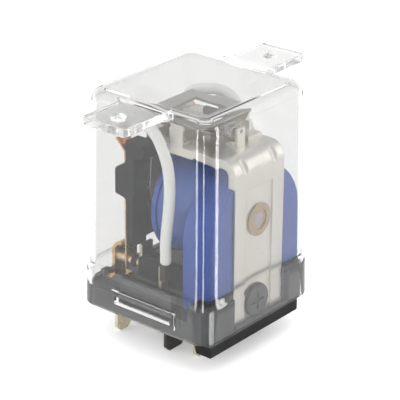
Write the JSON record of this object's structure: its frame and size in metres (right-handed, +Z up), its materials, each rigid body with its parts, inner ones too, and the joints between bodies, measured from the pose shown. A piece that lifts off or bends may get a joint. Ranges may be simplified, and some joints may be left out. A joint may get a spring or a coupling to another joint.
{
  "type": "relay",
  "caption": "Plug-on changeover relay: clear cover with two mounting ears, blue coil, steel frame, hinged armature with contact carrier, and flat tabs below.",
  "frame": {"origin": "middle of the foot of the box that holds the object, on the plane of the tabs' tips", "axes": "+Z up from the tabs to the cover's top; +Y from the front wall to the rear wall, along the ears; +X from the contacts to the steel frame"},
  "size_m": [0.0374, 0.061, 0.059],
  "materials": {
    "clear": "clear polished plastic",
    "black_plastic": "fine matt",
    "blue_plastic": "satin",
    "blue_tape": "wound tape, satin",
    "nickel_steel": "nickel plated, satin",
    "spring_steel": "drawn wire",
    "dark_steel": "dark zinc plated",
    "copper_wire": "enamelled copper",
    "tinned_brass": "tinned, satin",
    "silver": "silver alloy",
    "bronze_spring": "rolled sheet",
    "white_sleeve": "soft white sleeve",
    "copper_braid": "fused copper strands"
  },
  "bodies": {
    "housing": {"cover": "clear", "base": "black_plastic", "yoke": "nickel_steel", "frame_screw": "dark_steel", "core": "nickel_steel", "bobbin": "blue_plastic", "copper_winding": "copper_wire", "coil_tape": "blue_tape", "coil_tab_front": "tinned_brass", "coil_tab_rear": "tinned_brass", "closed_tab_front": "tinned_brass", "closed_tab_rear": "tinned_brass", "open_tab_front": "tinned_brass", "open_tab_rear": "tinned_brass", "common_tab_front": "tinned_brass", "common_tab_rear": "tinned_brass", "closed_contact_front": "silver", "closed_contact_rear": "silver", "open_contact_front": "silver", "open_contact_rear": "silver", "spring_anchor": "nickel_steel", "armature_guard": "nickel_steel", "frame_rivets": "nickel_steel", "return_spring": "spring_steel", "lead_front": "white_sleeve", "lead_rear": "white_sleeve", "lower_braid_front": "copper_braid", "lower_braid_rear": "copper_braid"},
    "armature_group": {"armature": "nickel_steel", "carrier": "black_plastic", "carrier_rivets": "tinned_brass", "moving_spring_front": "bronze_spring", "moving_spring_rear": "bronze_spring", "moving_contact_front": "silver", "moving_contact_rear": "silver", "upper_braid_front": "copper_braid", "upper_braid_rear": "copper_braid"}
  },
  "joints": [
    {"name": "armature_hinge", "type": "hinge", "parent": "housing", "child": "armature_group", "pos_m": [-0.0062, 0, 0.04675], "axis": [0, -1, 0], "range_deg": [0, 3], "stiffness_Nm_per_rad": 0.03, "springref_deg": -5.73, "deforming": ["return_spring", "lead_front", "lead_rear"]}
  ]
}
